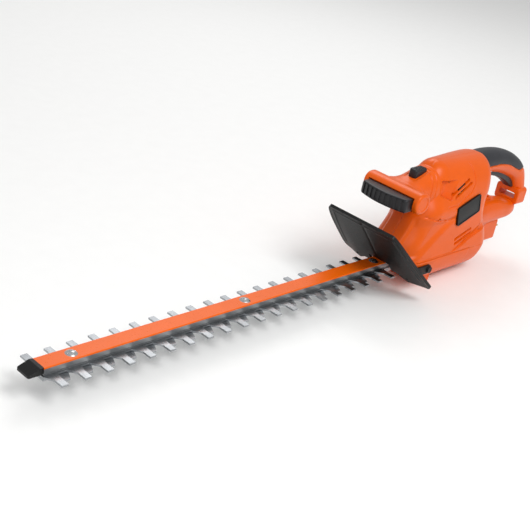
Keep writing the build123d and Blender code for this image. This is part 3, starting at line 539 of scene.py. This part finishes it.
def hull_relief(points, side):
    """How far the moulding stands off the plain hull, in millimetres.

    The band is a low step below its line. The panel line, the hood line and the vents are troughs by
    distance to their lines. The badge pocket and the side recess sink by depth inside their outlines, and
    the recess fades out to the rear. The screw pits on the left sink by distance to their centres.
    """
    sizes = bpy.context.scene.trimmer_sizes
    groove = sizes.groove_depth / MM
    x, y, z = points[..., 0], points[..., 1], points[..., 2]
    flank = step(y, 14, 20)
    line_x, line_z = np.array(BAND_LINE).T
    band = step(smooth(x, line_x, line_z) - z, -0.4, 0.4) * step(y, 6, 12)
    relief = band * sizes.band_height / MM
    relief -= groove * (1 - step(line_distance(x, z, PANEL_LINE), 0.3, 1.1)) * flank
    relief -= groove * 0.8 * (1 - step(np.abs(z - SPLIT_LEVEL), 0.0, 0.7)) * (x < BASE_REAR)
    recess = step(inside_depth(x, z, SIDE_RECESS), 0, 1.2) * (1 - step(x, 4, 24))
    relief -= RECESS_DEPTH * recess * flank
    relief -= groove * (1 - step(line_distance(x, z, HOOD_LINE), 0.3, 1.1)) * flank
    front = step(side_distance(x, z, FRONT_CREASE), 0, 11) * (1 - step(z, 84, 97)) * step(z, 44, 52)
    rear = step(-side_distance(x, z, REAR_CREASE), 0, 8) * (1 - step(x, 96, 108)) * (1 - band)
    relief -= (FRONT_SCOOP_DEPTH * front + REAR_SCOOP_DEPTH * rear) * flank
    for vent in VENTS:
        relief -= sizes.vent_depth / MM * (1 - step(line_distance(x, z, vent), 1.0, 1.7)) * flank
    tilt = math.radians(BADGE_TILT)
    u = (x - BADGE_CENTRE[0]) * math.cos(tilt) + (z - BADGE_CENTRE[1]) * math.sin(tilt)
    v = (z - BADGE_CENTRE[1]) * math.cos(tilt) - (x - BADGE_CENTRE[0]) * math.sin(tilt)
    pocket = np.minimum(BADGE_POCKET_HALF[0] - np.abs(u), BADGE_POCKET_HALF[1] - np.abs(v))
    relief -= BADGE_POCKET_DEPTH * step(pocket, 0, 0.8) * flank
    if side > 0:
        for px, pz in SCREW_PITS:
            pit = 1 - step(np.hypot(x - px, z - pz), SCREW_PIT_RADIUS, SCREW_PIT_RADIUS + 0.7)
            relief -= SCREW_PIT_DEPTH * pit * flank
    return relief


def housing_half(side):
    """One clamshell half of the hull: its upper grid, and the rear corner behind the base cover."""
    name = "left_housing" if side > 0 else "right_housing"
    upper = hull_grid(SPLIT_LEVEL, HULL[-1, 0], 160, side)
    corner = hull_grid(HULL[0, 0], SPLIT_LEVEL, 40, side, x_low=BASE_REAR, columns=30)
    return [skin(upper, wrap=False, caps=False), skin(corner, wrap=False, caps=False)], name


def rear_loop(side):
    """The half of the rear handle and arm on one side of the middle plane.

    Each is a whole tube cut to one side by holding its Y at the middle plane, so both halves close.
    """
    parts = []
    handle = grip_edge(tube(HANDLE, (150, 96), stop=5.6), -1)
    arm = tube(ARM, (70, 64), power=2.6)
    shrink = 1 - (1 - np.sqrt(1 - np.linspace(0, 0.92, 8) ** 2)) * 0.7
    middle = arm[-8:].mean(1, keepdims=True)
    arm[-8:] = middle + (arm[-8:] - middle) * shrink[:, None, None]
    parts.append(skin(held(handle, side)))
    parts.append(skin(held(arm, side)))
    return parts


def held(points, side):
    """Points past the middle plane are brought back to it."""
    points = points.copy()
    points[..., 1] = np.where(points[..., 1] * side < 0.12, 0.12 * side, points[..., 1])
    return points


def grip_edge(points, sign):
    """Sinks a tube by 1.6 mm on one side of the grip's edge, rising over a run of 0.9 mm."""
    edge_x, edge_z = np.array(GRIP_EDGE).T
    above = points[..., 2] - smooth(points[..., 0], edge_x, edge_z)
    centre = points.mean(1, keepdims=True)
    out = points - centre
    out /= np.maximum(np.linalg.norm(out, axis=2, keepdims=True), 1e-6)
    sunk = 1.6 * (1 - step(above * sign, 0.1, 1.0))
    return points - out * sunk[..., None]


def stations(rings, level):
    """Loops in Y and Z, each set at its place along X and raised to a level, as rows of a grid."""
    return np.stack([np.stack([x + 0 * loop[:, 0], loop[:, 0], loop[:, 1] + level], -1) for loop, x in rings])


def slot_frame():
    """The cord retention frame: a ring whose section is a bevelled rectangle, from outer to inner loop."""
    outer = rounded_loop(18.6, 12.0, 5.0, 64)
    outer_in = rounded_loop(17.4, 10.8, 4.4, 64)
    inner = rounded_loop(12.0, 4.0, 2.0, 64)
    inner_out = rounded_loop(12.8, 4.8, 2.5, 64)
    front, rear = 208.2, 229.6
    rings = ((outer_in, front), (outer, front + 1.2), (outer, rear - 1.2), (outer_in, rear),
             (inner_out, rear), (inner, rear - 0.9), (inner, front + 0.9), (inner_out, front))
    rows = stations(rings, SLOT_CENTRE_LEVEL)
    vertices, faces = skin(rows, caps=False, ring=True)
    return vertices, outward_ring(vertices, faces)


def outward_ring(vertices, faces):
    """Turns a ring's faces so that the volume they enclose is positive."""
    corners = vertices[np.array(faces)]
    volume = np.sum(corners[:, 0] * np.cross(corners[:, 1], corners[:, 2]))
    volume += np.sum(corners[:, 0] * np.cross(corners[:, 2], corners[:, 3]))
    return faces if volume > 0 else [face[::-1] for face in faces]


def inlet_boss():
    """The boss under the arm: a rounded bar along X that ends in a pocket for the inlet."""
    outer = rounded_loop(14.0, 17.0, 6.0, 64)
    lip = rounded_loop(12.8, 15.8, 5.0, 64)
    mouth = rounded_loop(9.2, 6.2, 2.0, 64)
    rings = ((lip, 112.0), (outer, 113.0), (outer, 179.8), (lip, 181.0), (mouth, 181.0), (mouth, 170.0))
    return skin(stations(rings, INLET_LEVEL))


def arm_hook():
    """The small hook on the arm that tidies a lead: a soft hooked outline 5 mm thick."""
    outline = softened(((146.0, 80.0), (148.0, 84.0), (157.0, 85.5), (153.5, 90.0), (160.5, 88.5),
                        (165.0, 83.0), (166.0, 78.0)), 2)
    return slab(outline, -2.5, 2.5, 0.8, sideways)


def foot_pad():
    """The foot: a rounded rectangle drawn up 12 mm with a soft lower edge."""
    return slab(rounded_loop(17.0, 25.0, 8.0, 64) + (7.0, 0.0), 0.0, 12.0, 1.5, upright)


# ---------------------------------------------------------------- front handle, controls and guard

def handle_bar():
    """The T handle's bar: ellipses along Y that round off by a quarter circle and end in a dished cap."""
    end, edge = 41.9, 3.0
    quarter = np.linspace(0, math.pi / 2, 7)
    inner = end - edge
    side_y = np.concatenate([[0.0], end - edge * (1 - np.sin(quarter)), [end, end - 0.7, end - 0.7]])
    side_scale = np.concatenate([[1.0], 1 - edge / 13.5 * (1 - np.cos(quarter)), [0.66, 0.60, 0.05]])
    y = np.concatenate([-side_y[:0:-1], np.linspace(-inner + 0.4, inner - 0.4, 90), side_y[1:]])
    scale = np.concatenate([side_scale[:0:-1], np.ones(90), side_scale[1:]])
    angle = np.arange(96) * 2 * math.pi / 96
    ring_x = np.sign(np.cos(angle)) * np.abs(np.cos(angle)) ** 0.88
    ring_z = np.sign(np.sin(angle)) * np.abs(np.sin(angle)) ** 0.88
    x = BAR_CENTRE[0] + 13.4 * scale[:, None] * ring_x
    z = BAR_CENTRE[1] + 12.9 * scale[:, None] * ring_z
    y = y[:, None] + 0 * x
    opening = (np.abs(y) < 34.6) & (np.abs(z - 125.0) < 9.4)
    x = np.where(opening, np.maximum(x, -72.5), x)
    return skin(np.stack([x, y, z], -1))


def handle_neck():
    """The neck: superellipses square to X whose width flares both to the bar and to the housing."""
    place = np.arange(len(NECK))
    t = np.linspace(0, place[-1], 170)[:, None]
    x, half, low, high = (smooth(t, place, NECK[:, k]) for k in range(4))
    angle = np.arange(176) * 2 * math.pi / 176
    across = np.sign(np.cos(angle)) * np.abs(np.cos(angle)) ** 0.85
    upward = np.sign(np.sin(angle)) * np.abs(np.sin(angle)) ** 0.85
    middle = (low + high) / 2
    x = x + 0 * across
    y = half * across
    z = middle + (high - low) / 2 * upward
    seam_x = -26.0 + 4.0 * (1 - (np.abs(y) / 26.0) ** 2) * step(z, 118, 140)
    seam = 1 - step(np.abs(x - seam_x), 0.3, 1.2)
    collar = 1 - step(np.abs(x - seam_x - 8.0), 0.3, 1.2)
    sink = 1.1 * seam + 0.8 * collar
    seat = step(z, 138, 142) * (1 - step(np.maximum(np.abs(x + 32.0) - 14.0, np.abs(y) - 8.0), 0.0, 1.5))
    y = y * (1 - sink / 26.0)
    z = middle + (z - middle) * (1 - sink / 34.0) - 1.2 * seat
    return skin(np.stack([x, y, z], -1))


def switch_bar():
    """The bowed switch bar: rounded rectangles along Y, the face bowed as a parabola and waved by ribs."""
    pitch = bpy.context.scene.trimmer_sizes.rib_pitch / MM
    edge = np.array((0.0, 0.35, 0.8, 1.4, 2.2))
    y = np.concatenate([-34.0 + edge, np.linspace(-31.4, 31.4, 190), 34.0 - edge[::-1]])
    inset = np.maximum(0, 2.2 - (34.0 - np.abs(y)))
    inset = 2.2 - np.sqrt(np.maximum(2.2 ** 2 - inset ** 2, 0))
    face = -98.6 + 6.4 * (y / 34.0) ** 2
    back = -78.2
    half_z = 8.3 - inset
    half_x = (back - face) / 2 - inset * 0.6
    angle = (np.arange(72) + 0.5) * 2 * math.pi / 72
    radius = 3.0
    x = np.sign(np.cos(angle)) * (half_x[:, None] - radius) + radius * np.cos(angle)
    x = (face + back)[:, None] / 2 + x
    z = 125.0 + np.sign(np.sin(angle)) * (half_z[:, None] - radius) + radius * np.sin(angle)
    wave = step(np.cos(2 * math.pi * y / pitch), -0.1, 0.7) * (np.abs(y) < 31)
    front = step(-x, 87, 92) * (1 - step(np.abs(z - 125.0), 5.6, 7.2))
    x = x + 1.5 * wave[:, None] * front
    return skin(np.stack([x, y[:, None] + 0 * x, z], -1))


def button_shape():
    """The lock-off button: a rounded block with five finger ridges across its top."""
    body = slab(rounded_loop(12.0, 6.0, 4.0, 48) + (-32.0, 0.0), 140.0, 153.4, 1.8, upright)
    parts = [body]
    for index in range(5):
        ridge = rounded_loop(0.8, 4.4, 0.7, 24) + (-40.0 + 4.0 * index, 0.0)
        parts.append(slab(ridge, 152.4, 153.95, 0.5, upright))
    return parts


def guard_plate():
    """The guard's leaning plate as a grid over its width and height.

    Its lower and upper edges are functions of Y, and off the plate's plane it carries a raised ridge that
    follows the top and side edges and a shallow crease up the middle. Its lower corners sweep back.
    """
    foot_x, foot_z = GUARD_FOOT
    head_x, head_z = GUARD_HEAD
    height = math.hypot(foot_x - head_x, head_z - foot_z)
    along = np.array(((head_x - foot_x) / height, (head_z - foot_z) / height))
    half = np.array((0, 15.9, 16.1, 26.8, 28.0, 36.0, 38.0, 64.0, 67.4, GUARD_HALF_WIDTH))
    corners = np.linspace(44.0, 62.0, 44)
    even = np.linspace(-GUARD_HALF_WIDTH, GUARD_HALF_WIDTH, 120)
    y = np.unique(np.concatenate([even, half, -half, corners, -corners]))
    wide = np.abs(y)
    edge_y, edge_h = np.array(GUARD_LOWER_EDGE).T
    low = np.interp(wide, edge_y, edge_h)
    side_slope = height / GUARD_SIDE_RATIO
    edge = (69.4 - wide) * side_slope
    run = GUARD_CORNER_RUN
    top = np.minimum(height, edge) - np.maximum(run - np.abs(height - edge), 0) ** 2 / (4 * run)
    top = np.maximum(top, low + 0.6)
    w = np.linspace(0, 1, 90)[:, None]
    h = low + (top - low) * w
    inner = np.minimum(top - h, (69.0 - wide) - h / side_slope)
    sweep = 9.0 * step(wide, 34.0, 69.0) * np.clip(1 - h / height, 0, 1) ** 1.4
    ridge = np.exp(-((inner - 8.5) / 1.5) ** 2) * step(h, 8, 20)
    crease = np.exp(-(wide / 2.0) ** 2) * step(h, 24, 32)
    flange = 1 - step(inner, 0.0, 2.4)
    thickness = bpy.context.scene.trimmer_sizes.guard_thickness / MM
    lift = thickness / 2 + 0.9 * ridge - 0.7 * crease + 0.5 * flange * step(h, 4, 12)
    across = np.array((-along[1], along[0]))
    rows = []
    for surface, offset in ((lift, 1.0), (lift * 0 + thickness / 2, -1.0)):
        x = foot_x + sweep + along[0] * h - offset * surface * abs(across[0])
        z = foot_z + along[1] * h - offset * surface * abs(across[1])
        rows.append(np.stack([x, y[None] + 0 * h, z], -1))
    return np.stack(rows)


def closed_plate(pair):
    """Joins a plate's two face grids along their four edges into one closed skin."""
    near, far = pair
    count, width = near.shape[:2]
    index = np.arange(count * width).reshape(count, width)
    other = index + count * width
    front = np.stack([index[:-1, :-1], index[1:, :-1], index[1:, 1:], index[:-1, 1:]], -1).reshape(-1, 4)
    back = np.stack([other[:-1, :-1], other[:-1, 1:], other[1:, 1:], other[1:, :-1]], -1).reshape(-1, 4)
    loop = np.concatenate([index[0, :], index[1:, -1], index[-1, -2::-1], index[-2:0:-1, 0]])
    after = np.roll(loop, -1)
    rim = np.stack([loop, after, after + count * width, loop + count * width], -1)
    vertices = np.concatenate([near.reshape(-1, 3), far.reshape(-1, 3)])
    faces = np.concatenate([front, back, rim]).tolist()
    return vertices, outward_ring(vertices, faces)


def guard_ears():
    """The two ears that carry the guard's screws: slabs along the housing's sides with round ends."""
    parts = []
    angle = np.linspace(-math.pi / 2, math.pi / 2, 24)
    nose = np.stack([-16.0 + 6.0 * np.cos(angle), 31.0 + 6.0 * np.sin(angle)], 1)
    outline = np.concatenate([nose, [(-62.0, 37.0), (-58.0, 25.0)]])
    boss = rounded_loop(4.6, 4.6, 4.5, 32) + (-16.0, 31.0)
    for side in (-1, 1):
        low, high = sorted((side * 38.0, side * 41.4))
        parts.append(slab(outline, low, high, 0.9, sideways))
        low, high = sorted((side * 41.0, side * 42.6))
        parts.append(slab(boss, low, high, 0.8, sideways))
    return parts


def badge_parts():
    """The blank badges: a rounded plate with a thin raised rim on each side, turned to the badge's tilt."""
    tilt = math.radians(BADGE_TILT)
    parts = []

    def turned(a, b, h):
        x = BADGE_CENTRE[0] + a * math.cos(tilt) - b * math.sin(tilt)
        z = BADGE_CENTRE[1] + a * math.sin(tilt) + b * math.cos(tilt)
        return np.stack([x, h, z], -1)

    for side in (-1, 1):
        plate = rounded_loop(*BADGE_HALF, 3.0, 64)
        low, high = sorted((side * 34.2, side * 36.7))
        parts.append(slab(plate, low, high, 0.5, turned))
        inner = rounded_loop(22.0, 11.8, 2.2, 64)
        bed, top = side * 36.2, side * 37.3
        rings = ((plate, bed), (plate, top - side * 0.3), (plate * 0.99, top), (inner * 1.01, top),
                 (inner, top - side * 0.3), (inner, bed))
        rows = np.stack([turned(loop[:, 0], loop[:, 1], h + 0 * loop[:, 0]) for loop, h in rings])
        vertices, faces = skin(rows, caps=False, ring=True)
        parts.append((vertices, outward_ring(vertices, faces)))
    return parts


# ---------------------------------------------------------------- operators

class TRIMMER_OT_housing(bpy.types.Operator):
    """Builds both clamshell halves with their part of the rear loop"""

    bl_idname = "trimmer.housing"
    bl_label = "Housing Halves"

    def execute(self, context):
        wall = context.scene.trimmer_sizes.wall
        for side in (-1, 1):
            shell, name = housing_half(side)
            piece(f"hull_{name}", shell, "casing", [name], "orange_plastic", wall=wall)
            piece(f"rear_loop_{name}", rear_loop(side), "casing", [], "orange_plastic")
        piece("cord_slot_frame", [slot_frame()], "casing", [], "orange_plastic")
        piece("arm_hook", [arm_hook()], "casing", [], "orange_plastic")
        piece("inlet_boss", [inlet_boss()], "casing", [], "orange_plastic")
        return {"FINISHED"}


class TRIMMER_OT_base_cover(bpy.types.Operator):
    """Builds the base cover and its foot"""

    bl_idname = "trimmer.base_cover"
    bl_label = "Base Cover"

    def execute(self, context):
        halves = [skin(hull_grid(HULL[0, 0], SPLIT_LEVEL, 46, side, x_high=BASE_REAR, columns=90), wrap=False,
                       caps=False) for side in (-1, 1)]
        wall = context.scene.trimmer_sizes.wall
        piece("base_hull", halves, "casing", ["base_cover"], "orange_plastic", wall=wall)
        piece("base_foot", [foot_pad()], "casing", [], "orange_plastic")
        return {"FINISHED"}


class TRIMMER_OT_front_handle(bpy.types.Operator):
    """Builds the T handle with its neck"""

    bl_idname = "trimmer.front_handle"
    bl_label = "Front Handle"

    def execute(self, context):
        parts = [handle_bar(), handle_neck()]
        piece("front_handle_moulding", parts, "casing", ["front_handle"], "orange_plastic")
        return {"FINISHED"}


class TRIMMER_OT_soft_grip(bpy.types.Operator):
    """Builds the soft grip on the rear handle"""

    bl_idname = "trimmer.soft_grip"
    bl_label = "Soft Grip"

    def execute(self, context):
        grip = grip_edge(tube(HANDLE, (150, 96), stop=5.3), 1)
        piece("soft_grip_sleeve", [skin(grip)], "casing", ["soft_grip"], "soft_rubber")
        return {"FINISHED"}


class TRIMMER_OT_controls(bpy.types.Operator):
    """Builds the trigger, the front switch bar and the lock-off button"""

    bl_idname = "trimmer.controls"
    bl_label = "Controls"

    def execute(self, context):
        trigger = slab(softened(TRIGGER, 2), -7.0, 7.0, 2.2, sideways)
        piece("trigger_lever", [trigger], "rear_trigger", ["rear_trigger"], "dark_plastic")
        piece("switch_bar_ribbed", [switch_bar()], "front_switch_bar", ["front_switch_bar"], "dark_plastic")
        piece("lock_button", button_shape(), "lock_off_button", ["lock_off_button"], "dark_plastic")
        return {"FINISHED"}


class TRIMMER_OT_guard(bpy.types.Operator):
    """Builds the hand guard with its ears"""

    bl_idname = "trimmer.guard"
    bl_label = "Hand Guard"

    def execute(self, context):
        parts = [closed_plate(guard_plate())] + guard_ears()
        piece("hand_guard", parts, "casing", ["guard"], "black_plastic")
        return {"FINISHED"}


class TRIMMER_OT_badges(bpy.types.Operator):
    """Builds the blank badges"""

    bl_idname = "trimmer.badges"
    bl_label = "Blank Badges"

    def execute(self, context):
        piece("blank_badges", badge_parts(), "casing", ["badge_plates"], "black_plastic")
        return {"FINISHED"}


class TRIMMER_OT_finishes(bpy.types.Operator):
    """Makes the finishes and gives them to the CAD nodes that stay"""

    bl_idname = "trimmer.finishes"
    bl_label = "Finishes"

    def execute(self, context):
        FINISHES.update(finishes())
        kept = {
            "blade_steel": ("upper_blade", "lower_blade"),
            "bar_metal": ("blade_bar",),
            "orange_paint": ("bar_cover",),
            "plated_steel": ("bar_screws", "bar_nuts", "blade_washers", "gear_case_screws",
                             "bar_mount_screws", "housing_screws", "base_screws", "trigger_spring",
                             "switch_bar_springs", "button_spring", "brush_springs", "trigger_pin"),
            "cast_alloy": ("gear_case", "case_spacers"),
            "gear_steel": ("gear_plate", "drive_gear", "gear_shaft", "double_crank", "motor_pinion",
                           "gear_bearing", "lower_bearing", "upper_bearing", "armature_shaft", "blade_bushes"),
            "core_steel": ("armature_core", "stator_core"),
            "copper_wire": ("armature_windings", "field_coils"),
            "commutator_copper": ("commutator",),
            "brush_carbon": ("carbon_brushes",),
            "brass_parts": ("brush_holders", "inlet_prongs"),
            "fan_plastic": ("cooling_fan",),
            "black_plastic": ("tip_protector", "power_inlet", "bearing_bracket", "main_switch", "front_switch",
                              "button_seat", "guard_screws"),
            "orange_plastic": ("left_housing", "right_housing", "base_cover", "front_handle"),
            "soft_rubber": ("soft_grip",),
            "dark_plastic": ("rear_trigger", "front_switch_bar", "lock_off_button", "guard", "badge_plates"),
        }
        for name, nodes in kept.items():
            paint(FINISHES[name], *nodes)
        return {"FINISHED"}


class TRIMMER_OT_stage(bpy.types.Operator):
    """Lays the pale floor, sets the soft lights and aims the camera"""

    bl_idname = "trimmer.stage"
    bl_label = "Stage"

    def execute(self, context):
        floor_rows = np.stack(np.meshgrid((-9000.0, 9000.0), (-9000.0, 9000.0)), -1)
        rows = np.concatenate([floor_rows, np.full((2, 2, 1), -0.4)], -1)
        mesh = bpy.data.meshes.new("floor")
        mesh.from_pydata((rows.reshape(-1, 3) * MM).tolist(), [], [[0, 1, 3, 2]])
        mesh.materials.append(finish("matt_pale_floor", linear("#F8F8F7"), 0.01, (0.8, 0.9), 4.0, 0.02,
                                     **{"Specular IOR Level": 0.1}))
        floor = bpy.data.objects.new("floor", mesh)
        context.scene.collection.objects.link(floor)

        world = bpy.data.worlds.new("studio")
        world.use_nodes = True
        world.node_tree.nodes["Background"].inputs["Color"].default_value = colour4(linear("#FFFFFF"))
        world.node_tree.nodes["Background"].inputs["Strength"].default_value = 0.55
        context.scene.world = world
        # The default film curve would pale the saturated orange.
        context.scene.view_settings.view_transform = "Standard"
        for name, place, size, power in LIGHTS:
            light = bpy.data.lights.new(name, "AREA")
            light.size = size
            light.energy = power
            lamp = bpy.data.objects.new(name, light)
            aim = (Vector(LIGHT_TARGET) - Vector(place)).to_track_quat("-Z", "Y").to_matrix().to_4x4()
            lamp.matrix_world = Matrix.Translation(place) @ aim
            context.scene.collection.objects.link(lamp)

        camera = bpy.data.cameras.new("camera")
        camera.lens = 69.0
        camera.sensor_width = 36.0
        camera.clip_start = 0.05
        eye = bpy.data.objects.new("camera", camera)
        level = math.cos(CAMERA_RISE)
        back = Vector((math.sin(CAMERA_TURN) * level, -math.cos(CAMERA_TURN) * level, math.sin(CAMERA_RISE)))
        right = Vector((math.cos(CAMERA_TURN), math.sin(CAMERA_TURN), 0))
        up = back.cross(right)
        across = math.cos(CAMERA_ROLL) * right + math.sin(CAMERA_ROLL) * up
        upward = -math.sin(CAMERA_ROLL) * right + math.cos(CAMERA_ROLL) * up
        axes = Matrix((across, upward, back)).transposed().to_4x4()
        eye.matrix_world = Matrix.Translation(CAMERA_PLACE) @ axes
        context.scene.collection.objects.link(eye)
        context.scene.camera = eye
        return {"FINISHED"}


class TRIMMER_PT_panel(bpy.types.Panel):
    """Lists the trimmer's sizes, colours and building steps"""

    bl_idname = "TRIMMER_PT_panel"
    bl_label = "Hedge Trimmer"
    bl_space_type = "VIEW_3D"
    bl_region_type = "UI"
    bl_category = "Trimmer"

    def draw(self, context):
        layout = self.layout
        for group in (context.scene.trimmer_sizes, context.scene.trimmer_colours):
            for key in group.bl_rna.properties.keys():
                if key not in ("rna_type", "name"):
                    layout.prop(group, key)
        for step_class in STEPS:
            layout.operator(step_class.bl_idname)


STEPS = (TRIMMER_OT_stage, TRIMMER_OT_finishes, TRIMMER_OT_housing, TRIMMER_OT_base_cover,
         TRIMMER_OT_front_handle, TRIMMER_OT_soft_grip, TRIMMER_OT_controls, TRIMMER_OT_guard,
         TRIMMER_OT_badges)
CLASSES = (TrimmerSizes, TrimmerColours) + STEPS + (TRIMMER_PT_panel,)


def register():
    """Registers the classes and hangs the two groups of properties on the scene."""
    for item in CLASSES:
        bpy.utils.register_class(item)
    bpy.types.Scene.trimmer_sizes = bpy.props.PointerProperty(type=TrimmerSizes)
    bpy.types.Scene.trimmer_colours = bpy.props.PointerProperty(type=TrimmerColours)


def unregister():
    """Takes away what register made."""
    del bpy.types.Scene.trimmer_colours
    del bpy.types.Scene.trimmer_sizes
    for item in reversed(CLASSES):
        bpy.utils.unregister_class(item)


def main():
    """Builds everything in order."""
    register()
    bpy.ops.trimmer.stage()
    bpy.ops.trimmer.finishes()
    bpy.ops.trimmer.housing()
    bpy.ops.trimmer.base_cover()
    bpy.ops.trimmer.front_handle()
    bpy.ops.trimmer.soft_grip()
    bpy.ops.trimmer.controls()
    bpy.ops.trimmer.guard()
    bpy.ops.trimmer.badges()


if __name__ == "__main__":
    main()
